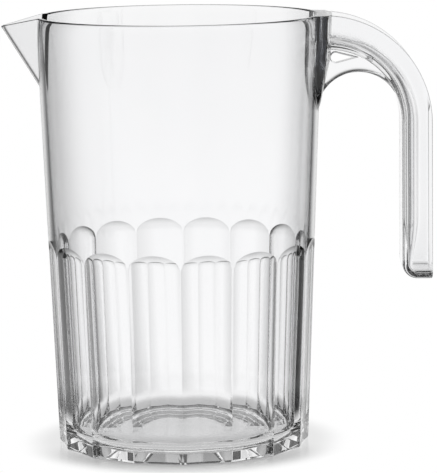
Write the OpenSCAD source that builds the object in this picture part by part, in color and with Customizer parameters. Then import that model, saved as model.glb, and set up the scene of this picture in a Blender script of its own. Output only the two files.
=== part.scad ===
// Clear plastic beer pitcher. A tapered round body with flat flutes round its lower half stands on its
// floor. A V shaped spout is set into a notch of the wall, and an open channel handle is bonded to the
// wall on the other side. The table is z = 0, the spout points to -X and the handle to +X.

/* [Body] */
// Outside diameter at the rim
rim_d = 127; // [118:1:140]
// Outside diameter at the foot, across the ridges
foot_d = 112; // [104:1:118]
// Height of the rim above the table
body_h = 191.5; // [185:0.5:210]
// Wall thickness at the rim
rim_wall_t = 2.5; // [2.2:0.1:3.5]
// Wall thickness at the foot, measured at a ridge
foot_wall_t = 3.4; // [2.8:0.1:5]
// Thickness of the floor
floor_t = 5.2; // [4:0.1:8]
// Radius inside where the wall meets the floor
floor_fillet_r = 4; // [3:0.5:10]
// Radius of the two edges of the rim
rim_round_r = 0.8; // [0.3:0.1:1]
// Radius round the lower edge of the foot
foot_round_r = 1.6; // [0.8:0.1:2.5]

/* [Flutes] */
// Number of flat flutes round the body
flute_n = 16; // [14:1:20]
// Width of the land left between two flutes, at the foot
ridge_land_w = 0.7; // [0.4:0.1:1.5]
// Height of the arch tops above the table
arch_top_z = 92.5; // [75:0.5:105]
// Drop from an arch top to the point where two arches meet
arch_drop = 6.5; // [5.5:0.5:9]
// Height of the sloped run out under an arch top
run_out_h = 3; // [1.5:0.5:4]

/* [Spout] */
// Reach of the tip beyond the rim
spout_reach = 15.4; // [12:0.2:20]
// Height of the spout from the foot of its keel to the rim
spout_h = 31.2; // [26:0.2:38]
// Drop of the tip below the rim
spout_drop = 4.1; // [2:0.1:6]
// Width of the spout where its panels leave the rim
spout_w = 31; // [26:0.5:36]
// Thickness of the spout's two panels
spout_t = 1.6; // [1.2:0.1:2.4]
// Radius outside along the keel
keel_r = 3.8; // [3:0.1:5]

/* [Handle] */
// Radius of the outer edge of the bend, from the rim down to the grip
bend_r = 48; // [46:0.5:54]
// Width across the two flanges
handle_w = 30; // [26:0.5:34]
// Depth of the channel, from the face of the web to the flange edges
channel_d = 13.4; // [11:0.1:16]
// How much deeper the channel is at its root than along the grip
root_flare = 2; // [0.5:0.1:3]
// Thickness of the web on the finger side
web_t = 2.7; // [2:0.1:3.5]
// Thickness of the two flanges
flange_t = 2.5; // [2:0.1:3.5]
// Radius outside between the web and a flange
channel_corner_r = 4.5; // [3.8:0.1:5.5]
// Height of the lower end of the handle above the table
handle_end_z = 73.8; // [60:0.2:95]
// Radius of the corner at the lower end
end_corner_r = 6.7; // [5.8:0.1:9]

/* [Handle root] */
// Thickness of the saddle pad that seats on the body
pad_t = 3.2; // [2:0.1:5]
// Height of the pad, from the rim down to its round lower end
pad_h = 34; // [31:0.5:40]
// Thickness of the gusset rib under the bend
gusset_t = 4.4; // [3:0.1:6]
// Radius of the finger arch under the gusset
finger_arch_r = 18.5; // [17:0.1:20]
// How far behind the rim line the finger arch starts
finger_arch_inset = 2.5; // [1.5:0.1:4]
// Height of the gusset between the top of the finger arch and the bend
gusset_h = 7.8; // [7:0.1:9.4]
// Radius of the round end of the drop shaped hole in the gusset
drop_r = 2.1; // [1.2:0.1:2.3]
// Length of that hole
drop_len = 10.4; // [6:0.1:11]
// Height of that hole's middle above the top of the finger arch
drop_rise = 6.7; // [6.2:0.1:7.2]
// Land between the pad and that hole
drop_land = 0.5; // [0.3:0.1:1.5]

/* [Hidden] */
$fn = 96;
clear_plastic = [0.86, 0.89, 0.91, 0.45];

// Extra length of every cutter beyond the solid that it cuts
overrun = 4;
// Segments of a quarter round in the revolved outline
quarter_n = 8;

rim_r = rim_d / 2;
foot_r = foot_d / 2;
wall_slope = (rim_r - foot_r) / body_h;
bore_rim_r = rim_r - rim_wall_t;
bore_slope = (bore_rim_r - foot_r + foot_wall_t) / body_h;

// Outside radius of the plain wall, and radius of the bore, at height z
function wall_r(z) = foot_r + wall_slope * z;
function bore_r(z) = bore_rim_r - bore_slope * (body_h - z);

// Points of an arc about [x, z], from angle a to angle b
function arc(x, z, r, a, b, n = quarter_n) =
    [for (i = [0 : n]) [x + r * cos(a + (b - a) * i / n), z + r * sin(a + (b - a) * i / n)]];

// Angle of the wall and of the bore from upright
wall_tilt = atan(wall_slope);
bore_tilt = atan(bore_slope);

// Centres of the round edges, each tangent to the wall or bore beside it
function wall_inset(r) = r / cos(wall_tilt);
function bore_inset(r) = r / cos(bore_tilt);
foot_round_x = wall_r(foot_round_r) - wall_inset(foot_round_r);
rim_round_z = body_h - rim_round_r;
rim_out_x = wall_r(rim_round_z) - wall_inset(rim_round_r);
rim_in_x = bore_r(rim_round_z) + bore_inset(rim_round_r);
fillet_z = floor_t + floor_fillet_r;
fillet_x = bore_r(fillet_z) - bore_inset(floor_fillet_r);

// Half the outline of the body without flutes or spout: foot, wall, rim, bore, fillet, floor
module body_outline() {
    polygon(concat(
        [[0, 0]],
        arc(foot_round_x, foot_round_r, foot_round_r, -90, -wall_tilt),
        arc(rim_out_x, rim_round_z, rim_round_r, -wall_tilt, 90),
        arc(rim_in_x, rim_round_z, rim_round_r, 90, 180 - bore_tilt),
        arc(fillet_x, fillet_z, floor_fillet_r, -bore_tilt, -90),
        [[0, floor_t]]
    ));
}

// Everything inside the plain outer wall, run past the foot and the rim, and grown by a thickness
module wall_core(grow = 0) {
    foot_end = wall_r(-overrun) + grow;
    rim_end = wall_r(body_h + overrun) + grow;
    translate([0, 0, -overrun]) cylinder(h = body_h + 2 * overrun, r1 = foot_end, r2 = rim_end);
}

// Everything inside the bore, run past the foot and the rim
module bore_core() {
    foot_end = bore_r(-overrun);
    rim_end = bore_r(body_h + overrun);
    translate([0, 0, -overrun]) cylinder(h = body_h + 2 * overrun, r1 = foot_end, r2 = rim_end);
}

// Flutes: flat faces that all lean to the same point as the wall does, so the lands keep an even share
flute_pitch = 360 / flute_n;
flute_half = flute_pitch / 2 - asin(ridge_land_w / foot_d);
face_foot_x = foot_r * cos(flute_half);
face_tilt = atan(wall_slope * cos(flute_half));
arch_sag = wall_r(arch_top_z) * (1 - cos(flute_half)) * cos(face_tilt);
arch_chord = wall_r(arch_top_z - arch_drop) * sin(flute_half);
arch_rise = arch_drop - run_out_h;
arch_r = (pow(arch_chord, 2) + pow(arch_rise, 2)) / (2 * arch_rise);
arch_centre_z = arch_top_z - run_out_h - arch_r;
cut_depth = arch_sag + overrun;

// What one flute takes away: all that lies outside its flat face, under a round sloped run out
module flute_cut() {
    translate([face_foot_x, 0, 0]) rotate([0, face_tilt, 0]) {
        translate([0, -arch_r, -overrun])
            cube([cut_depth, 2 * arch_r, arch_centre_z + overrun]);
        translate([0, 0, arch_centre_z]) rotate([0, 90, 0])
            cylinder(h = cut_depth, r1 = arch_r, r2 = arch_r + run_out_h * cut_depth / arch_sag);
    }
}

// Spout: two flat panels that meet in a rounded keel, extruded along the keel's slope
keel_foot_z = body_h - spout_h;
keel_foot_x = wall_r(keel_foot_z);
tip_x = rim_r + spout_reach;
tip_z = body_h - spout_drop;
keel_lean = atan2(tip_x - keel_foot_x, tip_z - keel_foot_z);
keel_len = norm([tip_x - keel_foot_x, tip_z - keel_foot_z]);
crease_x = sqrt(pow(rim_r, 2) - pow(spout_w / 2, 2));
crease_depth = (body_h - keel_foot_z) * sin(keel_lean) - (crease_x - keel_foot_x) * cos(keel_lean);
// Direction square to a panel, in the section across the keel
crease_span = norm([crease_depth - keel_r, spout_w / 2]);
panel_normal = atan2(spout_w / 2, keel_r - crease_depth) - acos(keel_r / crease_span);
panel_run = crease_span + 3 * rim_wall_t;
lip_slope = atan2(spout_drop, tip_x - crease_x);

// Section across the keel, drawn in by a thickness: x is outward from the body, 0 at the keel line
module spout_section(inset = 0) {
    r = keel_r - inset;
    tangent = [r * cos(panel_normal), r * sin(panel_normal)];
    far = tangent + panel_run * [-sin(panel_normal), cos(panel_normal)];
    translate([-keel_r, 0]) {
        circle(r);
        polygon([tangent, far, [far.x, -far.y], [tangent.x, -tangent.y]]);
    }
}

// The wedge of the spout, solid, from under the keel's foot to above its tip
module spout_wedge(inset = 0) {
    mirror([1, 0, 0]) translate([keel_foot_x, 0, keel_foot_z]) rotate([0, keel_lean, 0])
        translate([0, 0, -spout_h / 2]) linear_extrude(keel_len + spout_h) spout_section(inset);
}

// What is cut off above the rim and above the two sloping lip edges
module above_lip() {
    block = 2 * rim_d;
    translate([-block / 2, -block / 2, body_h]) cube(block);
    translate([-crease_x, 0, body_h]) rotate([0, -lip_slope, 0])
        translate([-block, -block / 2, 0]) cube(block);
}

// Handle: a channel of web and two flanges. The flange edges bend about a centre below the rim's outside,
// and the web about a centre a little further out, so that the channel is deeper at its root.
web_r = bend_r - channel_d - root_flare;
web_bend_x = rim_r + root_flare;
bend_z = body_h - bend_r;
web_x = web_bend_x + web_r;
grip_x = rim_r + bend_r;

// Channel section: x from the web's face to the flange edges, rounded beside the web. The hollow is
// the same outline drawn in by the web and the flanges, and left open past the flange edges.
module channel_section(hollow = false, depth = channel_d) {
    x0 = hollow ? web_t : 0;
    half_w = handle_w / 2 - (hollow ? flange_t : 0);
    r = channel_corner_r - (hollow ? web_t : 0);
    translate([x0 + r, -half_w]) square([depth - x0 - r, 2 * half_w]);
    translate([x0, r - half_w]) square([2 * r, 2 * (half_w - r)]);
    for (side = [-1, 1]) translate([x0 + r, side * (half_w - r)]) circle(r);
}

// The channel's envelope, or its hollow, from inside the body round the bend and down to its lower end
module channel(hollow = false) {
    depth = channel_d + (hollow ? overrun : 0);
    root_run = pad_t + overrun;
    grip_end_z = handle_end_z + end_corner_r;
    corner_x = web_x + end_corner_r;
    // Straight run through the wall and quarter bend, cut off along the flange edges
    intersection() {
        union() {
            translate([rim_r - root_run, 0, bend_z + web_r]) rotate([90, 0, 90])
                linear_extrude(root_run + root_flare) rotate(90) channel_section(hollow, depth + root_flare);
            translate([web_bend_x, 0, bend_z]) rotate([90, 0, 0]) rotate_extrude(angle = 90)
                translate([web_r, 0]) channel_section(hollow, depth + root_flare);
        }
        translate([rim_r, handle_w, bend_z]) rotate([90, 0, 0])
            cylinder(r = bend_r + depth - channel_d, h = 2 * handle_w);
    }
    // Straight grip
    translate([web_x, 0, grip_end_z]) linear_extrude(bend_z - grip_end_z) channel_section(hollow, depth);
    // Corner where the web turns out into the end wall
    translate([corner_x, 0, grip_end_z]) rotate([90, 0, 180]) mirror([0, 1, 0])
        rotate_extrude(angle = 90) intersection() {
            translate([end_corner_r, 0]) mirror([1, 0]) channel_section(hollow, depth);
            translate([0, -handle_w]) square([end_corner_r, 2 * handle_w]);
        }
    // End wall
    translate([corner_x, 0, handle_end_z]) rotate([90, 0, 90]) linear_extrude(depth - end_corner_r)
        rotate(90) intersection() {
            channel_section(hollow, depth);
            translate([0, -handle_w]) square([end_corner_r, 2 * handle_w]);
        }
}

// Saddle pad: a shell on the outside of the wall, with a round lower end
module saddle_pad() {
    intersection() {
        wall_core(pad_t);
        translate([0, 0, body_h]) rotate([90, 0, 90]) linear_extrude(grip_x) {
            translate([-handle_w / 2, handle_w / 2 - pad_h]) square([handle_w, pad_h - handle_w / 2]);
            translate([0, handle_w / 2 - pad_h]) circle(handle_w / 2);
        }
    }
}

// Gusset rib: fills the corner under the bend down to the finger arch, whose edge is a full round
bead_r = gusset_t / 2;
finger_x = rim_r - finger_arch_inset + finger_arch_r;
finger_top_z = bend_z + sqrt(pow(web_r, 2) - pow(finger_x - web_bend_x, 2)) - gusset_h;
finger_z = finger_top_z - finger_arch_r;
bead_ring_r = finger_arch_r + bead_r;
drop_x = rim_r + pad_t + drop_land + drop_r;
drop_z = finger_top_z + drop_rise;
// Half width at which the straight sides of the drop shaped hole start, across its round end's middle
drop_side_share = 0.95;

module gusset() {
    translate([0, gusset_t / 2, 0]) rotate([90, 0, 0]) linear_extrude(gusset_t) difference() {
        intersection() {
            translate([web_bend_x, bend_z]) circle(web_r + web_t / 2);
            translate([rim_r - pad_t, finger_z]) square([grip_x - rim_r, web_r + finger_arch_r]);
        }
        translate([finger_x, finger_z]) circle(bead_ring_r);
        drop_outline();
    }
    translate([finger_x, 0, finger_z]) rotate([90, 0, 0])
        rotate_extrude(angle = 180) translate([bead_ring_r, 0]) circle(bead_r);
}

// Drop shaped hole: a round end beside the pad, drawn out to a point under the bend
module drop_outline() {
    reach = drop_len - drop_r;
    side = drop_side_share * drop_r;
    translate([drop_x, drop_z]) {
        circle(drop_r);
        polygon([[0, side], [0, -side], [reach, 0]]);
    }
}

module body() {
    color(clear_plastic) difference() {
        rotate_extrude() body_outline();
        for (i = [0 : flute_n - 1]) rotate(flute_pitch * (i + 0.5)) flute_cut();
        spout_wedge();
    }
}

module spout() {
    color(clear_plastic) difference() {
        spout_wedge();
        spout_wedge(spout_t);
        bore_core();
        above_lip();
    }
}

module handle() {
    color(clear_plastic) difference() {
        union() {
            difference() {
                union() {
                    channel();
                    gusset();
                }
                channel(hollow = true);
            }
            saddle_pad();
        }
        wall_core();
    }
}

body();
spout();
handle();
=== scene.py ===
import bmesh
import bpy
import numpy as np
from mathutils import Matrix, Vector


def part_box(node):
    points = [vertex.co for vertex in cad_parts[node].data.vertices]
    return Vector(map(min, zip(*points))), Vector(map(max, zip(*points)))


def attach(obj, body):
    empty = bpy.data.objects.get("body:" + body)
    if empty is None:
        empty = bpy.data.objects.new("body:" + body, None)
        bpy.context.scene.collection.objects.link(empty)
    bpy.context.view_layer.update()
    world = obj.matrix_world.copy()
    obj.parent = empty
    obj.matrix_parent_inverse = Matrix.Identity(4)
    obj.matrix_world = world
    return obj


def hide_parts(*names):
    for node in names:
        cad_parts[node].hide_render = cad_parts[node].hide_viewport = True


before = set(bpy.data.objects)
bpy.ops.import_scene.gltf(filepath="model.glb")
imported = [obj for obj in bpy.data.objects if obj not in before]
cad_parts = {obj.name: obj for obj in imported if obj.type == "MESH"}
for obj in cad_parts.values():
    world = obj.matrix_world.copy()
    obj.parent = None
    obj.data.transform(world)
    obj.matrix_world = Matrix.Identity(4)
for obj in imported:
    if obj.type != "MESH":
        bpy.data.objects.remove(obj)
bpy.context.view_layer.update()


# Body: the tapered round wall with its floor, and sixteen flat flutes round the lower half. It is one
# clear moulding, thicker towards the foot, with a round run out over each flute and a rounded rim. A
# notch in the rim takes the spout, and the handle is welded to the wall opposite.
MM = 0.001
body_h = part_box("body")[1].z
rim_r = 63.48 * MM
foot_r = 56 * MM
rim_wall = 2.5 * MM
foot_wall = 3.4 * MM
floor_t = 5.2 * MM
floor_fillet = 8 * MM
rim_round = 0.8 * MM
foot_round = 0.5 * MM
hollow_r = 38 * MM
hollow_edge = 5 * MM
hollow_h = 2.4 * MM
flute_count = 16
land_w = 0.25 * MM
arch_top = 92.5 * MM
arch_drop = 6.5 * MM
run_out = 6 * MM
flute_dip = 0.5 * MM
columns_per_flute = 33
foot_rows, face_rows, run_out_rows, wall_rows, pad_rows = 5, 10, 14, 24, 12
round_rows, bore_rows, fillet_steps, floor_rows = 6, 40, 14, 8

wall_slope = (rim_r - foot_r) / body_h
bore_slope = (rim_r - rim_wall - foot_r + foot_wall) / body_h
wall_tilt = np.arctan(wall_slope)
bore_tilt = np.arctan(bore_slope)


def wall_radius(z):
    """Outside radius at height z: a cone from the foot to the rim."""
    return foot_r + wall_slope * z


def bore_radius(z):
    """Inside radius at height z: a steeper cone, so that the wall thickens towards the foot."""
    return rim_r - rim_wall - bore_slope * (body_h - z)


def crossing(low, high, gap, halvings=48):
    """Where gap(value) turns from below zero to above it, between low and high, by halving whole arrays."""
    for _ in range(halvings):
        middle = (low + high) / 2
        below = gap(middle) < 0
        low = np.where(below, middle, low)
        high = np.where(below, high, middle)
    return (low + high) / 2


# Spout's outside, which also shapes the notch: two panels tangent to a round keel that leans outwards
spout_reach = 15.4 * MM
spout_h = 31.2 * MM
spout_drop = 4.1 * MM
spout_w = 31 * MM
keel_r = 3.8 * MM
keel_z = body_h - spout_h
keel_x = wall_radius(keel_z)
tip_x = rim_r + spout_reach
keel_lean = np.arctan2(tip_x - keel_x, spout_h - spout_drop)
crease_x = np.sqrt(rim_r**2 - (spout_w / 2) ** 2)
crease_depth = spout_h * np.sin(keel_lean) - (crease_x - keel_x) * np.cos(keel_lean)
crease_span = np.hypot(crease_depth - keel_r, spout_w / 2)
panel_turn = np.arctan2(spout_w / 2, keel_r - crease_depth) - np.arccos(keel_r / crease_span)


def outside_wedge(x, y, z):
    """Distance of points from the spout's outer skin, below zero within it: from the line of the keel's
    centre where the keel is nearest, and otherwise square to the nearer panel."""
    out = (-x - keel_x) * np.cos(keel_lean) - (z - keel_z) * np.sin(keel_lean) + keel_r
    across = np.abs(y)
    along_panel = across * np.cos(panel_turn) - out * np.sin(panel_turn)
    square = out * np.cos(panel_turn) + across * np.sin(panel_turn)
    return np.where(along_panel >= 0, square, np.hypot(out, across)) - keel_r


# Handle's pad, whose outline bounds the weld face on the wall
pad_w = 40 * MM
pad_h = 43.5 * MM
pad_round_z = body_h - pad_h + pad_w / 2

columns = flute_count * columns_per_flute
half_turn = columns // 2
step = 2 * np.pi / columns
pitch = 2 * np.pi / flute_count
flute_half = pitch / 2 - np.arcsin(land_w / (2 * foot_r))
face_tilt = np.arctan(wall_slope * np.cos(flute_half))
face_foot = foot_r * np.cos(flute_half)
arch_sag = wall_radius(arch_top) * (1 - np.cos(flute_half)) * np.cos(face_tilt) + flute_dip
arch_chord = wall_radius(arch_top - arch_drop) * np.sin(flute_half)
arch_rise = arch_drop - run_out
arch_r = (arch_chord**2 + arch_rise**2) / (2 * arch_rise)
arch_centre = arch_top - run_out - arch_r


def dip(turn):
    """Depth of the slightly hollow face of a flute: deepest in its middle, none at its edges."""
    return flute_dip * (1 - (np.tan(turn) / np.tan(flute_half)) ** 2)


def face_radius(turn, z):
    """Radius of the flute's face at an angle from its middle."""
    return (wall_radius(z) * np.cos(flute_half) - dip(turn)) / np.cos(turn)


def over_face(turn, r, z):
    """Height of a point over the face of its flute, and its distance from the middle of the arch."""
    out = r * np.cos(turn) - face_foot
    height = out * np.cos(face_tilt) - z * np.sin(face_tilt) + dip(turn)
    along = out * np.sin(face_tilt) + z * np.cos(face_tilt)
    return height, np.hypot(r * np.sin(turn), along - arch_centre)


def run_out_gap(turn, r, z):
    """Height over the face less the height of the run out there, which leaves the face level and curves
    up to the wall."""
    height, span = over_face(turn, r, z)
    return height - arch_sag * (np.maximum(span - arch_r, 0) / run_out) ** 2


def mirrored(half):
    """Angles all round from those of half a turn, which starts at the handle and ends at the spout."""
    return np.concatenate([half, -half[-2:0:-1]])


def even_angles(pad_edge, crease):
    """Nearly even angles all round, drawn a little together so that one column runs along each edge of
    the pad and one along each edge of the notch."""
    index = np.arange(half_turn + 1)
    pad_column = round(pad_edge / step)
    notch_column = half_turn - round(notch_half / step)
    spread = columns_per_flute
    knots = [0, pad_column, pad_column + spread, notch_column - spread, notch_column, half_turn]
    angles = [k * step for k in knots]
    angles[1] = pad_edge
    angles[4] = np.pi - crease
    angles[5] = np.pi
    return mirrored(np.interp(index, knots, angles))


def land_angles():
    """Angles all round with a column in the middle and at both edges of each land between two flutes."""
    inside = np.linspace(pitch / 2 - flute_half, pitch / 2 + flute_half, columns_per_flute - 1)
    one = np.concatenate([[0], inside])
    return np.concatenate([one + i * pitch for i in range(flute_count)])


def quarter(x, z, r, start, end, n):
    """Points of an arc about [x, z] as rows of radius and height."""
    a = np.linspace(start, end, n + 1)
    return np.stack([x + r * np.cos(a), z + r * np.sin(a)], axis=1)


# Rim in section: outer round, flat top, inner round
rim_start = body_h - rim_round
rim_out = wall_radius(rim_start) - rim_round / np.cos(wall_tilt)
rim_in = bore_radius(rim_start) + rim_round / np.cos(bore_tilt)
rim_rows = np.concatenate([
    quarter(rim_out, rim_start, rim_round, -wall_tilt, np.pi / 2, round_rows),
    quarter(rim_in, rim_start, rim_round, np.pi / 2, np.pi - bore_tilt, round_rows),
])


def notch_edge(r, z):
    """Angle from the spout's middle at which the notch cuts a circle of radius r at height z."""
    return crossing(0.0, np.pi / 4, lambda a: outside_wedge(-r * np.cos(a), r * np.sin(a), z))


rim_crease = np.array([notch_edge(r, z) for r, z in rim_rows])
notch_half = rim_crease[0]
pad_half = np.arcsin(pad_w / 2 / wall_radius(body_h - pad_h / 4))
pad_column = round(pad_half / step)
notch_columns = round(notch_half / step)

index = np.arange(columns)
from_handle = np.minimum(index, columns - index)
from_spout = np.abs(index - half_turn)
in_pad = from_handle <= pad_column
in_notch = from_spout < notch_columns

land = land_angles()
even = even_angles(pad_half, notch_half)
even = np.where(even < 0, even + 2 * np.pi, even)
hair = 1e-12
turn = np.clip((land + hair) % pitch - pitch / 2, -flute_half, flute_half)

# Heights that the rows follow: foot edge of the faces, arch line, line above it, pad's outline, top edge
lean = np.arctan(wall_slope * np.cos(flute_half) / np.cos(turn))
foot_round_x = face_radius(turn, foot_round) - foot_round / np.cos(lean)
face_low = foot_round * (1 - np.sin(lean))
face_high = crossing(
    np.full(columns, arch_centre), np.full(columns, arch_top),
    lambda z: over_face(turn, face_radius(turn, z), z)[1] - arch_r,
)
arch_line = crossing(
    face_high, np.full(columns, arch_top + arch_drop),
    lambda z: -run_out_gap(turn, wall_radius(z), z),
)
arch_line = np.where(np.abs(turn) >= flute_half, face_high, arch_line)


def notch_height(radius_at, angle):
    """Height at which the notch cuts the wall or bore, at angles from the spout's middle."""
    return crossing(
        np.full(columns, keel_z - spout_h), np.full(columns, body_h),
        lambda z: -outside_wedge(-radius_at(z) * np.cos(angle), radius_at(z) * np.sin(angle), z),
    )


bore_crease = rim_crease[-1]
notch_turn = from_spout / notch_columns
top_line = np.where(in_notch, notch_height(wall_radius, notch_turn * notch_half), rim_start)
bore_start = rim_rows[-1][1]
bore_top = np.where(in_notch, notch_height(bore_radius, notch_turn * bore_crease), bore_start)
pad_across = pad_w / 2 * np.sin(np.minimum(from_handle / pad_column, 1) * pad_half) / np.sin(pad_half)
pad_line = np.where(in_pad, pad_round_z - np.sqrt((pad_w / 2) ** 2 - pad_across**2), pad_round_z)
pad_line = np.minimum(pad_line, top_line - 2 * keel_r)


def shares(n):
    """n rows as shares of the way from one line to the next, without the first."""
    return np.linspace(0, 1, n + 1)[1:, None]


def smooth(t):
    """Share that starts and ends level."""
    return t * t * (3 - 2 * t)


# Blocks of rows, each as radius, height and angle: from the middle of the underside out, up the outside,
# over the rim, down the bore and in to the middle of the floor
blocks = []
# The underside's rows as shares of its radius. The side of the hollow is one straight slope between two of
# them, and beyond it lies the flat ring that the body stands on.
hollow_shares = np.linspace(0, 0.8, 5)
ring_shares = np.append(np.linspace(0.82, 0.96, 15), 1)
t = np.concatenate([hollow_shares, ring_shares])[:, None]
hollow = hollow_h * (1 - smooth(np.clip((t * foot_round_x - hollow_r) / hollow_edge + 1, 0, 1)))
blocks.append((t * foot_round_x, hollow, 0 * t + land))
swing = (np.pi / 2 - lean) * shares(foot_rows) - np.pi / 2
blocks.append((foot_round_x + foot_round * np.cos(swing), foot_round * (1 + np.sin(swing)), 0 * swing + land))
z = face_low + (face_high - face_low) * shares(face_rows)
blocks.append((face_radius(turn, z), z, 0 * z + land))
foot_edge_row = len(t) - 1 + foot_rows
face_top_row = foot_edge_row + face_rows
z = face_high + (arch_line - face_high) * shares(run_out_rows)
r = crossing(face_radius(turn, z), wall_radius(z), lambda r: run_out_gap(turn, r, z))
blocks.append((r, z, 0 * z + land))
arch_row = face_top_row + run_out_rows
t = shares(wall_rows)
z = arch_line + (pad_line - arch_line) * t
blocks.append((wall_radius(z), z, land + (even - land) * smooth(t)))
pad_row = arch_row + wall_rows
z = pad_line + (top_line - pad_line) * shares(pad_rows)
blocks.append((wall_radius(z), z, 0 * z + even))
rim_row = pad_row + pad_rows

radius, height, angle = (np.concatenate(a) for a in zip(*blocks))


def placed(radius, height, angle):
    """Points from radius, height and angle about the upright axis."""
    return np.stack([radius * np.cos(angle), radius * np.sin(angle), height + 0 * angle], axis=-1)


outside = placed(radius, height, angle)
rim_angles = np.stack([even_angles(pad_half, c) for c in rim_crease])
rim_line = placed(rim_rows[:, :1], rim_rows[:, 1:], rim_angles)
# Under the pad the wall keeps its square outer corner, so that the rim and the pad's top are one face
rise = np.linspace(0, 2, round_rows + 1)[:, None]
square_z = rim_start + rim_round * np.minimum(rise, 1)
square_r = wall_radius(square_z) - (wall_radius(body_h) - rim_out) * np.maximum(rise - 1, 0)
rim_line[: round_rows + 1, in_pad] = placed(square_r, square_z, rim_angles[: round_rows + 1])[:, in_pad]
# Within the notch the rows cross the cut face from the outer edge to the inner edge
bore_angles = even_angles(pad_half, bore_crease)
inner_edge = placed(bore_radius(bore_top), bore_top, bore_angles)
across = np.linspace(0, 1, len(rim_rows))[:, None, None]
cut_face = outside[-1] * (1 - across) + inner_edge * across
rim_line[:, in_notch] = cut_face[:, in_notch]

fillet_z = floor_t + floor_fillet
fillet_x = bore_radius(fillet_z) - floor_fillet / np.cos(bore_tilt)
fillet_rows = quarter(fillet_x, fillet_z, floor_fillet, -bore_tilt, -np.pi / 2, fillet_steps)
z = bore_top + (fillet_rows[0, 1] - bore_top) * shares(bore_rows)
bore = placed(bore_radius(z), z, 0 * z + bore_angles)
fillet = placed(fillet_rows[1:, :1], fillet_rows[1:, 1:], bore_angles + 0 * fillet_rows[1:, :1])
t = 1 - shares(floor_rows)
floor_top = placed(t * fillet_x, floor_t, bore_angles + 0 * t)
surface = np.concatenate([outside, rim_line[1:], bore, fillet, floor_top])


def grid_faces(rows, cols, closed):
    """Four-cornered faces of a grid of rows by columns, turned outwards for rows that climb and columns
    that go anticlockwise, and joined end to start where the columns close."""
    i, j = np.meshgrid(np.arange(rows - 1), np.arange(cols if closed else cols - 1), indexing="ij")
    k = (j + 1) % cols
    return np.stack([i * cols + j, i * cols + k, (i + 1) * cols + k, (i + 1) * cols + j], axis=-1)


same_place = 1e-3 * MM


def add_piece(name, points, faces, slots, crisp):
    """A mesh object from whole arrays: points, four-cornered faces, the material slot of each face and the
    pairs of points that are crisp edges. Points in one place become one, so a face that narrows to
    nothing becomes a triangle or goes."""
    keys = np.round(points / same_place).astype(np.int64)
    _, first, same = np.unique(keys, axis=0, return_index=True, return_inverse=True)
    same = same.reshape(-1)
    f = same[faces]
    dropped = f == np.roll(f, -1, axis=1)
    count = dropped.sum(axis=1)
    flat = (f[:, 0] == f[:, 2]) | (f[:, 1] == f[:, 3])
    four = (count == 0) & ~flat
    three = (count == 1) & ~flat
    corner = (np.argmax(dropped[three], axis=1)[:, None] + np.arange(1, 4)) % 4
    triangles = np.take_along_axis(f[three], corner, axis=1)
    mesh = bpy.data.meshes.new(name)
    mesh.from_pydata(points[first].tolist(), [], f[four].tolist() + triangles.tolist())
    mesh.polygons.foreach_set("material_index", np.concatenate([slots[four], slots[three]]).astype(np.int32))
    mesh.shade_smooth()
    ends = np.empty(2 * len(mesh.edges), np.int32)
    mesh.edges.foreach_get("vertices", ends)
    n = len(points)
    edge_key = np.sort(ends.reshape(-1, 2), axis=1) @ [n, 1]
    crisp_key = np.sort(same[crisp], axis=1) @ [n, 1]
    sharp = mesh.attributes.new("sharp_edge", "BOOLEAN", "EDGE")
    sharp.data.foreach_set("value", np.isin(edge_key, crisp_key))
    piece = bpy.data.objects.new(name, mesh)
    bpy.context.scene.collection.objects.link(piece)
    return piece


rows = len(surface)
number = np.arange(rows * columns).reshape(rows, columns)


def ring(row, keep=True):
    """Pairs of neighbours along one row, where both columns are kept."""
    kept = np.broadcast_to(keep, (columns,))
    kept = kept & np.roll(kept, -1)
    return np.stack([number[row], np.roll(number[row], -1)], axis=1)[kept]


def line(first_row, last_row, cols):
    """Pairs of neighbours up the given columns between two rows."""
    stretch = number[first_row : last_row + 1, cols]
    return np.stack([stretch[:-1], stretch[1:]], axis=-1).reshape(-1, 2)


flute_column = index % columns_per_flute
land_edges = np.flatnonzero((flute_column == 1) | (flute_column == columns_per_flute - 1))
rim_end_row = rim_row + len(rim_rows) - 1
corner_row = rim_row + round_rows // 2
notch_edges = [half_turn - notch_columns, half_turn + notch_columns]
in_cut = from_spout <= notch_columns
crisp = np.concatenate([
    ring(arch_row), line(foot_edge_row, arch_row, land_edges),
    ring(rim_row, in_cut), ring(rim_end_row, in_cut), line(rim_row, rim_end_row, notch_edges),
    ring(corner_row, in_pad),
])
body_faces = grid_faces(rows, columns, True)
welded = np.zeros(body_faces.shape[:2], int)
pad_face = in_pad & np.roll(in_pad, -1)
cut_columns = in_cut & np.roll(in_cut, -1)
welded[pad_row:corner_row, pad_face] = 1
welded[rim_row:rim_end_row, cut_columns] = 1
body = add_piece(
    "body_moulding", surface.reshape(-1, 3), body_faces.reshape(-1, 4), welded.reshape(-1), crisp
)


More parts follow.
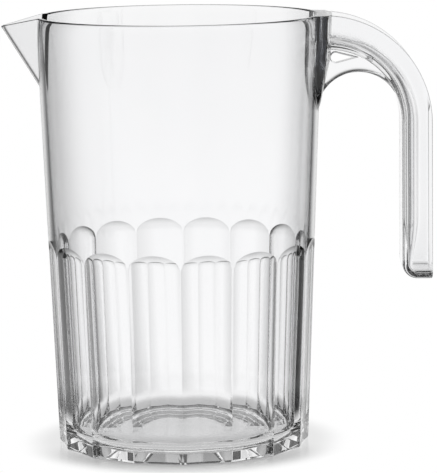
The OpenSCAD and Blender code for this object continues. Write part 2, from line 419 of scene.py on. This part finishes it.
class Socket:
    """An output of a node, so that sums of values are written as plain expressions."""

    def __init__(self, tree, output):
        self.tree = tree
        self.output = output

    def node(self, kind, settings=None, **inputs):
        """Any node of this tree, from its type, its settings, with a ramp's stops among them, and the values
        or links of its inputs, by name or by an underscore and their number."""
        node = self.tree.nodes.new(kind)
        for key, value in (settings or {}).items():
            if key == "stops":
                for stop, (where, colour) in zip(node.color_ramp.elements, value):
                    stop.position, stop.color = where, colour
            else:
                setattr(node, key, value)
        for key, value in inputs.items():
            socket = node.inputs[int(key[1:])] if key[0] == "_" else node.inputs[key.replace("_", " ")]
            if isinstance(value, Socket):
                self.tree.links.new(value.output, socket)
            else:
                socket.default_value = value
        return node

    def out(self, node, name=0):
        """The named output of a node, wrapped."""
        return Socket(self.tree, node.outputs[name])

    def maths(self, operation, *values):
        """A Math node on values."""
        links = {f"_{i}": v for i, v in enumerate(values)}
        return self.out(self.node("ShaderNodeMath", {"operation": operation}, **links))

    def __add__(self, other):
        return self.maths("ADD", self, other)

    def __sub__(self, other):
        return self.maths("SUBTRACT", self, other)

    def __rsub__(self, other):
        return self.maths("SUBTRACT", other, self)

    def __mul__(self, other):
        return self.maths("MULTIPLY", self, other)

    def __pow__(self, other):
        return self.maths("POWER", self, other)

    def __rpow__(self, other):
        return self.maths("POWER", other, self)

    __radd__ = __add__
    __rmul__ = __mul__


def new_material(name):
    """An empty node material and a handle on its tree."""
    material = bpy.data.materials.new(name)
    material.use_nodes = True
    material.node_tree.nodes.clear()
    return material, Socket(material.node_tree, None)


def ramp(tree, value, start, end, kind="SMOOTHSTEP"):
    """Share from 0 at the start to 1 at the end of a range."""
    limits = {"From_Min": start, "From_Max": end}
    return tree.out(tree.node("ShaderNodeMapRange", {"interpolation_type": kind}, Value=value, **limits))


light_bending = 1.585
tint_stops = [(0.3, (0.978, 0.98, 0.986, 1)), (0.7, (0.988, 0.988, 0.992, 1))]
tint_scale = 25
wipe_scale = 160
wipe_stretch = (1, 1, 0.12)
wipe_start, wipe_end = 0.55, 0.8
wipe_dulling = 0.012
wave_scale = 40
wave_h = 0.05 * MM
wave_strength = 0.1


def clear_plastic():
    """Glossy clear plastic: light bends at its skin, whose gloss is dulled a little by faint wiping marks
    and which waves slightly from the mould. Its tint drifts from place to place."""
    material, tree = new_material("clear_plastic")
    place = tree.out(tree.node("ShaderNodeTexCoord"), "Object")
    cloud = tree.out(tree.node("ShaderNodeTexNoise", {}, Vector=place, Scale=tint_scale, Detail=2))
    stretched = tree.out(tree.node("ShaderNodeMapping", {}, Vector=place, Scale=wipe_stretch))
    wiping = tree.out(tree.node("ShaderNodeTexNoise", {}, Vector=stretched, Scale=wipe_scale, Detail=3))
    wave = tree.out(tree.node("ShaderNodeTexNoise", {}, Vector=place, Scale=wave_scale, Detail=0))
    tint = tree.node("ShaderNodeValToRGB", {"stops": tint_stops}, Fac=cloud)
    ripple = tree.node("ShaderNodeBump", {}, Strength=wave_strength, Distance=wave_h, Height=wave)
    shader = tree.node(
        "ShaderNodeBsdfPrincipled", {}, Transmission_Weight=1, IOR=light_bending, Base_Color=tree.out(tint),
        Roughness=wipe_dulling * ramp(tree, wiping, wipe_start, wipe_end), Normal=tree.out(ripple),
    )
    tree.node("ShaderNodeOutputMaterial", {}, Surface=tree.out(shader))
    return material


clear_colour = (1, 1, 1, 1)
# Painted shade on the weld faces: a dark filter that stands for the shade at the handle's root
painted_shade_colour = (0.3, 0.31, 0.34, 1)
shade_start, shade_end = 0.45, 0.85
patch_scale = 260
patch_stretch = (1, 1, 0.2)
patch_middle = 0.42
patch_weight = 1.1


def weld_with_painted_shade():
    """Face where two mouldings are welded: light goes straight on, except at a glancing angle and in patches,
    where painted shade darkens it."""
    material, tree = new_material("weld_with_painted_shade")
    place = tree.out(tree.node("ShaderNodeTexCoord"), "Object")
    drawn = tree.out(tree.node("ShaderNodeMapping", {}, Vector=place, Scale=patch_stretch))
    patchy = tree.out(tree.node("ShaderNodeTexNoise", {}, Vector=drawn, Scale=patch_scale, Detail=2))
    glancing = tree.out(tree.node("ShaderNodeLayerWeight"), "Facing")
    clear = tree.node("ShaderNodeBsdfTransparent", {}, Color=clear_colour)
    shaded = tree.node("ShaderNodeBsdfTransparent", {}, Color=painted_shade_colour)
    # painted shade: stronger at a glancing angle and in noise patches
    painted_shade = ramp(tree, glancing + patch_weight * (patchy - patch_middle), shade_start, shade_end)
    joint = tree.node("ShaderNodeMixShader", {}, _0=painted_shade, _1=tree.out(clear), _2=tree.out(shaded))
    tree.node("ShaderNodeOutputMaterial", {}, Surface=tree.out(joint))
    return material


plastic = clear_plastic()
weld = weld_with_painted_shade()
body.data.materials.append(plastic)
body.data.materials.append(weld)
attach(body, "root")
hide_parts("body")


# Spout: two thin flat panels that meet in a rounded keel, one clear moulding. Its edges are welded into
# the notch of the wall, and its rounded lip falls a little from the rim to the tip.
spout_t = 1.2 * MM
lip_round = 0.5 * MM
keel_columns = 10
panel_columns = 34
weld_rows, panel_rows, lip_rows, inner_rows = 4, 18, 4, 22
lip_tilt = np.arctan2(spout_drop, tip_x - crease_x)


def on_panel(inset, bend, run, s):
    """Points of the spout's skin, drawn in by a thickness: round the keel by the angle bend, then along
    the panel by run, and up the keel by s from its foot."""
    r = keel_r - inset
    out = r * np.cos(bend) - run * np.sin(panel_turn) - keel_r
    y = r * np.sin(bend) + run * np.cos(panel_turn)
    x = keel_x + out * np.cos(keel_lean) + s * np.sin(keel_lean)
    z = keel_z - out * np.sin(keel_lean) + s * np.cos(keel_lean)
    return np.stack(np.broadcast_arrays(-x, y, z), axis=-1)


def beyond(points, radius_at):
    """How far points lie outside a cone given by its radius at each height."""
    return np.hypot(points[..., 0], points[..., 1]) - radius_at(points[..., 2])


def lip_rise(inset, bend, run):
    """How far up the keel the lip lies: under the rim's plane and under the plane that falls to the tip."""
    start = on_panel(inset, bend, run, 0.0)
    room = body_h - start[..., 2]
    fall = np.tan(lip_tilt)
    sloped = (room + (crease_x + start[..., 0]) * fall) / (np.cos(keel_lean) + np.sin(keel_lean) * fall)
    return np.minimum(room / np.cos(keel_lean), sloped)


def spout_lines(inset):
    """Bend and run of each column over half the spout, and where the bore, the wall and the lip cut it."""
    def inside_bore(run):
        """How far inside the bore the lip lies at a run along the panel."""
        return -beyond(on_panel(inset, panel_turn, run, lip_rise(inset, panel_turn, run)), bore_radius)

    last_run = crossing(0.0, 2 * spout_w, inside_bore)
    bend = np.concatenate([np.linspace(0, panel_turn, keel_columns + 1), np.full(panel_columns, panel_turn)])
    run = np.concatenate([np.zeros(keel_columns), np.linspace(0, last_run, panel_columns + 1)])
    lip = lip_rise(inset, bend, run)
    low = np.full(len(bend), -2 * spout_h)
    bore_cut, wall_cut = (
        crossing(low, lip, lambda s: beyond(on_panel(inset, bend, run, s), radius_at))
        for radius_at in (bore_radius, wall_radius)
    )
    return bend, run, bore_cut, wall_cut, lip


bend, outer_run, outer_bore, outer_wall, outer_lip = spout_lines(0)
_, inner_run, inner_bore, _, inner_lip = spout_lines(spout_t)
# Lip in section, as shares of the panel's thickness across it and of the lip's round down from its top
swing = np.linspace(0, np.pi / 2, lip_rows + 1)[:, None]
edge_share = lip_round / spout_t * (1 - np.cos(swing))
across_shares = np.concatenate([edge_share, 1 - edge_share[::-1]])
down_shares = np.concatenate([1 - np.sin(swing), 1 - np.sin(swing[::-1])])
lip_room = np.minimum(lip_round, (outer_lip - outer_wall) / 2)
lip_outer = on_panel(0, bend, outer_run, outer_lip - down_shares * lip_room)
lip_inner = on_panel(spout_t, bend, inner_run, inner_lip - down_shares * lip_room)
bore_outer = on_panel(0, bend, outer_run, outer_bore)
bore_inner = on_panel(spout_t, bend, inner_run, inner_bore)
weld_shares = np.linspace(0, 1, weld_rows + 1)[:, None]
inner_end = inner_lip - lip_room
spout_blocks = [
    on_panel(0, bend, outer_run, outer_bore + (outer_wall - outer_bore) * weld_shares),
    on_panel(0, bend, outer_run, outer_wall + (outer_lip - lip_room - outer_wall) * shares(panel_rows)),
    (lip_outer + (lip_inner - lip_outer) * across_shares[..., None])[1:],
    on_panel(spout_t, bend, inner_run, inner_end + (inner_bore - inner_end) * shares(inner_rows)),
    (bore_outer + (bore_inner - bore_outer) * across_shares[::-1, :, None])[1:],
]
wall_row, _, _, bore_row, _ = np.cumsum([len(b) for b in spout_blocks]) - 1
half_spout = np.concatenate(spout_blocks)
whole = np.concatenate([half_spout[:, ::-1], half_spout[:, 1:] * [1, -1, 1]], axis=1)
rows, cols = whole.shape[:2]
number = np.arange(rows * cols).reshape(rows, cols)
crisp = np.concatenate([np.stack([number[i, :-1], number[i, 1:]], axis=1) for i in (0, wall_row, bore_row)])
spout_faces = grid_faces(rows, cols, False)
welded = np.zeros(spout_faces.shape[:2], int)
welded[:wall_row] = 1
spout = add_piece(
    "spout_moulding", whole.reshape(-1, 3), spout_faces.reshape(-1, 4), welded.reshape(-1), crisp
)
spout.data.materials.append(plastic)
spout.data.materials.append(weld)
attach(spout, "root")
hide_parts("spout")


# Handle: an open channel of web and two flanges, bent from the rim down to the grip and closed at its
# lower end. A pad welded to the wall carries it, with a gusset rib under the bend that has a rounded edge
# and a drop shaped hole. All of it is one clear moulding.
bend_r = 48 * MM
handle_w = 30 * MM
channel_d = 13.4 * MM
root_flare = 2 * MM
web_t = 3.2 * MM
flange_t = 2.5 * MM
channel_round = 4.5 * MM
inner_round = 4.8 * MM
handle_end = 73.8 * MM
end_round = 6.7 * MM
edge_round = 0.65 * MM
pad_t = 4.4 * MM
pad_skirt = 3.5 * MM
pad_wedge = 24 * MM
gusset_t = 4.4 * MM
finger_r = 18.5 * MM
finger_inset = 2.5 * MM
gusset_h = 7.8 * MM
drop_r = 2.1 * MM
drop_len = 10.4 * MM
drop_rise = 6.7 * MM
drop_start = 3.7 * MM
drop_chamfer = 0.5 * MM
bend_columns, grip_columns, corner_columns, end_columns, ease_columns = 56, 21, 12, 6, 8
web_rows, corner_rows, flange_rows, edge_rows = 6, 10, 6, 5

web_r = bend_r - channel_d - root_flare
bend_z = body_h - bend_r
web_x = rim_r + bend_r - channel_d
grip_x = rim_r + bend_r
corner_x = web_x + end_round
corner_z = handle_end + end_round
# The channel and the gusset both end within the thickness of the pad
root_x = rim_r + pad_t / 4
gusset_x = rim_r - pad_t / 10
edge_depth = channel_d - edge_round

# Side view of the channel in four runs: bend, grip, corner and lower end. For each column: the web's face,
# the direction into the channel, the flange edge, and the direction that this edge faces.
turn = np.linspace(np.arccos((root_x - rim_r - root_flare) / web_r), 0, bend_columns + 1)
grip = np.linspace(bend_z, corner_z, grip_columns + 1)[1:]
corner = np.linspace(np.pi, 1.5 * np.pi, corner_columns + 1)[1:]
end = np.linspace(corner_x, grip_x - edge_round, end_columns + 1)[1:]
tail = corner_columns + end_columns
radial = np.stack([np.cos(turn), np.sin(turn)], axis=1)
sweep = np.stack([np.cos(corner), np.sin(corner)], axis=1)
outward = np.tile([1.0, 0.0], (len(grip), 1))
bend_centre = np.array([rim_r, bend_z])
web_centre = np.array([rim_r + root_flare, bend_z])
lead = root_flare * radial[:, :1]
edge_r = bend_r - edge_round
bend_edge = web_centre + (np.sqrt(lead**2 - root_flare**2 + edge_r**2) - lead) * radial
web = np.concatenate([
    web_centre + web_r * radial,
    np.stack([0 * grip + web_x, grip], axis=1),
    [corner_x, corner_z] + end_round * sweep,
    np.stack([end, 0 * end + handle_end], axis=1),
])
into = np.concatenate([radial, outward, -sweep, np.tile([0.0, 1.0], (len(end), 1))])
low_edge = np.linspace(corner_z, handle_end + channel_round, tail + 1)[1:]
flange = np.concatenate([
    bend_edge,
    np.stack([0 * grip + web_x + edge_depth, grip], axis=1),
    np.stack([0 * low_edge + web_x + edge_depth, low_edge], axis=1),
])
facing = np.concatenate([(bend_edge - bend_centre) / edge_r, outward, np.tile([1.0, 0.0], (tail, 1))])


def side_on(flat, y):
    """Points in space from points of the side view and their distance from the middle plane."""
    x, y, z = np.broadcast_arrays(flat[..., 0], y, flat[..., 1])
    return np.stack([x, y, z], axis=-1)


def channel_sheet(depth, half_w, r):
    """One skin of half the channel: along the web from the middle, round the corner and up the flange. The
    corner eases to the one at the end wall over the last part of the grip."""
    past_grip = np.arange(len(web)) - len(web) + tail
    r = r + (channel_round - depth - r) * smooth(np.clip(past_grip / ease_columns + 1, 0, 1))
    swing = np.pi / 2 * shares(corner_rows)
    flat_y = (half_w - r) * np.linspace(0, 1, web_rows + 1)[:, None]
    y = np.concatenate([flat_y, half_w - r + r * np.sin(swing)])
    deep = np.concatenate([0 * flat_y + depth, depth + r * (1 - np.cos(swing))])
    curved = side_on(web + deep[..., None] * into, y)
    side = curved[-1] + (side_on(flange, half_w) - curved[-1]) * shares(flange_rows)[..., None]
    return curved, side


outer_curved, outer_side = channel_sheet(0, handle_w / 2, channel_round)
inner_curved, inner_side = channel_sheet(web_t, handle_w / 2 - flange_t, inner_round)
# Edge of flange and lower end, with a round on both sides, carried along the whole rim of the channel
outer_rim = np.concatenate([outer_side[-1], outer_curved[-2::-1, -1]])
inner_rim = np.concatenate([inner_side[-1], inner_curved[-2::-1, -1]])
rim_out_dir = side_on(np.concatenate([facing, np.tile([1.0, 0.0], (len(outer_curved) - 1, 1))]), 0.0)
rim_across = inner_rim - outer_rim
rim_across = rim_across / np.linalg.norm(rim_across, axis=1)[:, None]
swing = np.linspace(0, np.pi / 2, edge_rows + 1)[:, None, None]
near_round = outer_rim + edge_round * (rim_across * (1 - np.cos(swing)) + rim_out_dir * np.sin(swing))
far_round = inner_rim + edge_round * (-rim_across * (1 - np.cos(swing)) + rim_out_dir * np.sin(swing))
rim_strip = np.concatenate([near_round, far_round[::-1]])
outer_sheet = np.concatenate([outer_curved, outer_side])
inner_sheet = np.concatenate([inner_curved, inner_side])
root_cap = np.stack([outer_sheet[:, 0], inner_sheet[:, 0]])
half_strip = len(rim_strip) // 2
edge_cap = np.stack([rim_strip[:half_strip, 0], rim_strip[: half_strip - 1 : -1, 0]])


def add_solid(name, grids, slots=None):
    """A closed solid from grids that share their edges, each with a material slot, turned outwards."""
    points, faces, marks, start = [], [], [], 0
    for k, grid in enumerate(grids):
        n, m = grid.shape[:2]
        points.append(grid.reshape(-1, 3))
        faces.append(grid_faces(n, m, False).reshape(-1, 4) + start)
        marks.append(np.full(len(faces[-1]), slots[k] if slots else 0))
        start += n * m
    no_edges = np.zeros((0, 2), int)
    solid = add_piece(name, np.concatenate(points), np.concatenate(faces), np.concatenate(marks), no_edges)
    shape = bmesh.new()
    shape.from_mesh(solid.data)
    bmesh.ops.recalc_face_normals(shape, faces=shape.faces)
    shape.to_mesh(solid.data)
    shape.free()
    solid.data.materials.append(plastic)
    solid.data.materials.append(weld)
    return solid


half_grids = [outer_sheet, inner_sheet, rim_strip, root_cap, edge_cap]
handle = add_solid("handle_moulding", half_grids + [g * [1, -1, 1] for g in half_grids])

# Pad: a shell on the wall that blends into it at both sides and thins towards its round lower end
pad_steps = 28
pad_cols = np.arange(-pad_column, pad_column + 1)
pad_turn = even[pad_cols]
pad_y = pad_w / 2 * np.sin(pad_turn) / np.sin(pad_half)
z = pad_line[pad_cols] + (rim_start - pad_line[pad_cols]) * np.linspace(0, 1, pad_steps + 1)[:, None]
z = np.concatenate([z, np.full((1, len(pad_cols)), body_h)])
from_edge = pad_w / 2 - np.hypot(pad_y, np.minimum(z - pad_round_z, 0))
thinning = np.minimum((z - body_h + pad_h) / pad_wedge, 1)
thickness = pad_t * thinning * smooth(np.clip(from_edge / pad_skirt, 0, 1))
inner_pad = placed(wall_radius(z), z, 0 * z + pad_turn)
outer_pad = placed(wall_radius(z) + thickness, z, 0 * z + pad_turn)
pad_edges = [np.stack([inner_pad[i], outer_pad[i]]) for i in (0, -1)]
pad_sides = [np.stack([inner_pad[:, i], outer_pad[:, i]]) for i in (0, -1)]
pad = add_solid("pad", [inner_pad, outer_pad, *pad_edges, *pad_sides], [1, 0, 0, 0, 0, 0])

# Gusset: rays from the middle of the finger arch, out to just inside the web or the pad
ray_count, bead_rows, side_rows = 91, 16, 8
nearly_upright = -1e-9
finger_x = rim_r - finger_inset + finger_r
finger_top = bend_z + np.sqrt(web_r**2 - (finger_x - web_centre[0]) ** 2) - gusset_h
finger = np.array([finger_x, finger_top - finger_r])
bead_r = gusset_t / 2
ring_r = finger_r + bead_r
offset = finger - web_centre
offset_len = np.hypot(*offset)
first = np.arctan2(offset[1], offset[0])
last = np.arccos((gusset_x - finger_x) / finger_r)
ray = np.linspace(first, last, ray_count)
ray_dir = np.stack([np.cos(ray), np.sin(ray)], axis=1)
along = ray_dir @ offset
web_reach = np.sqrt(along**2 - offset_len**2 + (offset_len + finger_r) ** 2) - along
towards_pad = (gusset_x - finger_x) / np.minimum(np.cos(ray), nearly_upright)
pad_reach = np.where(np.cos(ray) < 0, towards_pad, web_reach)
reach = np.minimum(web_reach, pad_reach)
swing = np.linspace(0, np.pi, bead_rows + 1)[:, None]
bead_out = np.minimum(ring_r - bead_r * np.sin(swing), reach)
bead_y = bead_r * np.cos(swing)


def on_rays(out, y):
    """Points at a distance along each ray from the middle of the arch, and at y from the middle plane."""
    return side_on(finger + out[..., None] * ray_dir, y)


side_shares = np.linspace(0, 1, side_rows + 1)[:, None]
near_side = on_rays(bead_out[0] + (reach - bead_out[0]) * side_shares, bead_r)
gusset_bead = on_rays(bead_out, bead_y)
gusset_top = on_rays(reach + 0 * swing, bead_y)
gusset = add_solid("gusset", [near_side, near_side * [1, -1, 1], gusset_bead, gusset_top])

# Drop shaped hole: a round end drawn out to a point, cut straight through, with a chamfer at both faces
drop_columns = 48
drop = np.array([rim_r + drop_start + drop_r, finger_top + drop_rise])
drop_reach = drop_len - drop_r
side_turn = np.arccos(drop_r / drop_reach)
swing = np.linspace(side_turn, 2 * np.pi - side_turn, drop_columns + 1)
outline = drop_r * np.stack([np.cos(swing), np.sin(swing)], axis=1)
outline = np.concatenate([outline, [[drop_reach, 0]], outline[:1]])
chamfer_y = gusset_t / 2 - drop_chamfer
cut_y = np.array([gusset_t, gusset_t, chamfer_y, -chamfer_y, -gusset_t, -gusset_t])[:, None]
cut_grow = 1 + np.maximum(np.abs(cut_y) - chamfer_y, 0) / drop_r
cut_grow[[0, -1]] = 0
drop_cut = add_solid("drop", [side_on(drop + cut_grow[..., None] * outline, cut_y)])


def worked(piece, other, operation):
    """The piece with another solid joined to it or cut out of it. The other solid is used up."""
    tool = piece.modifiers.new("work", "BOOLEAN")
    tool.operation = operation
    tool.solver = "EXACT"
    tool.object = other
    bpy.context.view_layer.update()
    mesh = bpy.data.meshes.new_from_object(piece.evaluated_get(bpy.context.evaluated_depsgraph_get()))
    piece.modifiers.clear()
    piece.data = mesh
    bpy.data.objects.remove(other)


worked(handle, gusset, "UNION")
worked(handle, pad, "UNION")
worked(handle, drop_cut, "DIFFERENCE")
# Points and faces of no size that joining and cutting leave go
least = 4e-3 * MM
least_on_gusset = 0.06 * MM
crisp_angle = np.radians(24)
shape = bmesh.new()
shape.from_mesh(handle.data)
bmesh.ops.remove_doubles(shape, verts=shape.verts, dist=least)
bmesh.ops.dissolve_degenerate(shape, dist=least, edges=shape.edges)
on_gusset = [v for v in shape.verts if abs(abs(v.co.y) - gusset_t / 2) < least]
bmesh.ops.remove_doubles(shape, verts=on_gusset, dist=least_on_gusset)
shape.to_mesh(handle.data)
shape.free()
handle.data.shade_smooth()
handle.data.set_sharp_from_angle(angle=crisp_angle)
even_out = handle.modifiers.new("even_normals", "WEIGHTED_NORMAL")
even_out.keep_sharp = True
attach(handle, "root")
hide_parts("handle")


# Stage: a plain pale floor that runs out of sight, with a little gloss. Away from the foot it shows at
# an even white to the eye, and round the foot it shows a painted shadow and the object's blurred reflection.
floor_reach = 8.0
floor_gap = 0.2 * MM
# Brightness of the studio, and the compass directions in degrees from straight behind the object
white_loss = 0.32
white_fade = (5, 21)
dark_fade = (22.5, 33)
pale_fade = (50, 88)
left_dark, right_dark, pale_level = 0.14, 0.03, 0.86


def studio(tree, x, y):
    """Brightness of the studio by compass direction from the object: white straight behind it, falling off
    to a dark strip on both sides so that clear edges show, and pale all the rest of the way round."""
    bearing = tree.maths("ARCTAN2", tree.maths("ABSOLUTE", x), y) * (180 / np.pi)
    right = tree.maths("GREATER_THAN", x, 0)
    white = 1 - white_loss * ramp(tree, bearing, *white_fade, "LINEAR")
    dark = ramp(tree, bearing, *dark_fade)
    pale = ramp(tree, bearing, *pale_fade)
    depth = left_dark - (left_dark - right_dark) * right
    return white + dark * (depth - white) + pale * (pale_level - depth)


floor_mesh = bpy.data.meshes.new("floor")
corners = np.array([(-1, -1), (1, -1), (1, 1), (-1, 1)]) * floor_reach
floor_mesh.from_pydata([(x, y, -floor_gap) for x, y in corners], [], [(0, 1, 2, 3)])
floor = bpy.data.objects.new("floor", floor_mesh)
bpy.context.scene.collection.objects.link(floor)
material, tree = new_material("floor")
parts = tree.node("ShaderNodeSeparateXYZ", {}, Vector=tree.out(tree.node("ShaderNodeTexCoord"), "Object"))
x, y = tree.out(parts, 0), tree.out(parts, 1)
away = tree.maths("SQRT", x * x + y * y)
path = tree.node("ShaderNodeLightPath")
direct = tree.out(path, "Is Camera Ray")
bent = tree.maths("MAXIMUM", tree.out(path, "Is Glossy Ray"), tree.out(path, "Is Transmission Ray"))
seen = tree.maths("MAXIMUM", direct, bent)

# Through the plastic the floor follows the studio, a little less bright far off and where seen from above
studio_x, studio_y = 20 * MM, -80 * MM
under_foot = (60 * MM, 110 * MM)
steep_level = 0.76
steep_fade = (0.33, 0.62)
horizon_level = 0.93
horizon_start = 0.83
grazing = ramp(tree, tree.out(tree.node("ShaderNodeLayerWeight"), "Facing"), *steep_fade)
far = ramp(tree, away, *under_foot)
horizon = horizon_level + (1 - horizon_level) * tree.maths("MINIMUM", horizon_start * away ** -1, 1)
around = studio(tree, x - studio_x, y - studio_y) * horizon
level = (1 + far * (around - 1)) * (steep_level + (1 - steep_level) * grazing)

# To the eye it is white, with a soft painted shadow close to the foot that is deepest in front
shadow_reach = 22 * MM
side_shadow, front_shadow = 0.06, 0.6
front_fade = (10 * MM, 50 * MM)
# painted shadow: ambient occlusion darkens the floor's own glow, more in front of the foot
contact = tree.out(tree.node("ShaderNodeAmbientOcclusion", {"samples": 16}, Distance=shadow_reach), "AO")
front = ramp(tree, -1 * y, *front_fade)
painted_shadow = 1 - (side_shadow + front_shadow * front) * (1 - contact ** 2)
glow = level + direct * (painted_shadow - level)
paper_colour = (0.9, 0.9, 0.9, 1)
gloss_colour = (1, 1, 1, 1)
gloss_blur = 0.16
gloss_share = 0.3
gloss_fade = (58 * MM, 74 * MM)
white = tree.node("ShaderNodeEmission", {}, Color=glow, Strength=1)
paper = tree.node("ShaderNodeBsdfDiffuse", {}, Color=paper_colour)
gloss = tree.node("ShaderNodeBsdfGlossy", {}, Color=gloss_colour, Roughness=gloss_blur)
glossy = gloss_share * (1 - ramp(tree, away, *gloss_fade))
sheen = tree.node("ShaderNodeMixShader", {}, _0=glossy, _1=tree.out(white), _2=tree.out(gloss))
shown = tree.node("ShaderNodeMixShader", {}, _0=seen, _1=tree.out(paper), _2=tree.out(sheen))
tree.node("ShaderNodeOutputMaterial", {}, Surface=tree.out(shown))
floor_mesh.materials.append(material)

# Studio light: a surround that is brightest low down and dark overhead, white to the eye, and a broad soft
# lamp above.
ceiling_level = 0.07
ceiling_fade = (0, 0.42)
world = bpy.data.worlds.new("studio")
bpy.context.scene.world = world
world.use_nodes = True
world.node_tree.nodes.clear()
tree = Socket(world.node_tree, None)
parts = tree.node("ShaderNodeSeparateXYZ", {}, Vector=tree.out(tree.node("ShaderNodeTexCoord"), "Generated"))
x, y, z = (tree.out(parts, i) for i in range(3))
high = ramp(tree, z, *ceiling_fade)
level = horizon_level * studio(tree, x, y)
sky = level + high * (ceiling_level - level)
sky = sky + tree.out(tree.node("ShaderNodeLightPath"), "Is Camera Ray") * (1 - sky)
backing = tree.node("ShaderNodeBackground", {}, Color=sky, Strength=1)
tree.node("ShaderNodeOutputWorld", {}, Surface=tree.out(backing))

lamp_data = bpy.data.lights.new("softbox", "AREA")
lamp_data.size = 1.4
lamp_data.energy = 26
lamp = bpy.data.objects.new("softbox", lamp_data)
lamp.location = (-0.2, 0.3, 1.7)
lamp.visible_glossy = False
lamp.visible_transmission = False
bpy.context.scene.collection.objects.link(lamp)

# Camera: the photograph's place, a long lens a little above the rim, turned by its slight roll.
camera_data = bpy.data.cameras.new("camera")
camera_data.lens = 235.8
camera_data.sensor_width = 36
camera = bpy.data.objects.new("camera", camera_data)
bpy.context.scene.collection.objects.link(camera)
target = np.array([16.52, 0, 91.97]) * MM
distance = 1386.7 * MM
elevation = np.radians(8.425)
roll = np.radians(0.647)
forward = np.array([0, np.cos(elevation), -np.sin(elevation)])
right = np.array([1.0, 0, 0])
up = np.cross(right, forward)
camera_x = right * np.cos(roll) - up * np.sin(roll)
camera_y = up * np.cos(roll) + right * np.sin(roll)
spot = target - forward * distance
camera.matrix_world = Matrix([
    [*(float(v[i]) for v in (camera_x, camera_y, -forward, spot))] for i in range(3)
] + [[0, 0, 0, 1]])
bpy.context.scene.camera = camera

scene = bpy.context.scene
scene.view_settings.view_transform = "Standard"
scene.cycles.max_bounces = 24
scene.cycles.transmission_bounces = 24
scene.cycles.glossy_bounces = 12
scene.cycles.transparent_max_bounces = 24
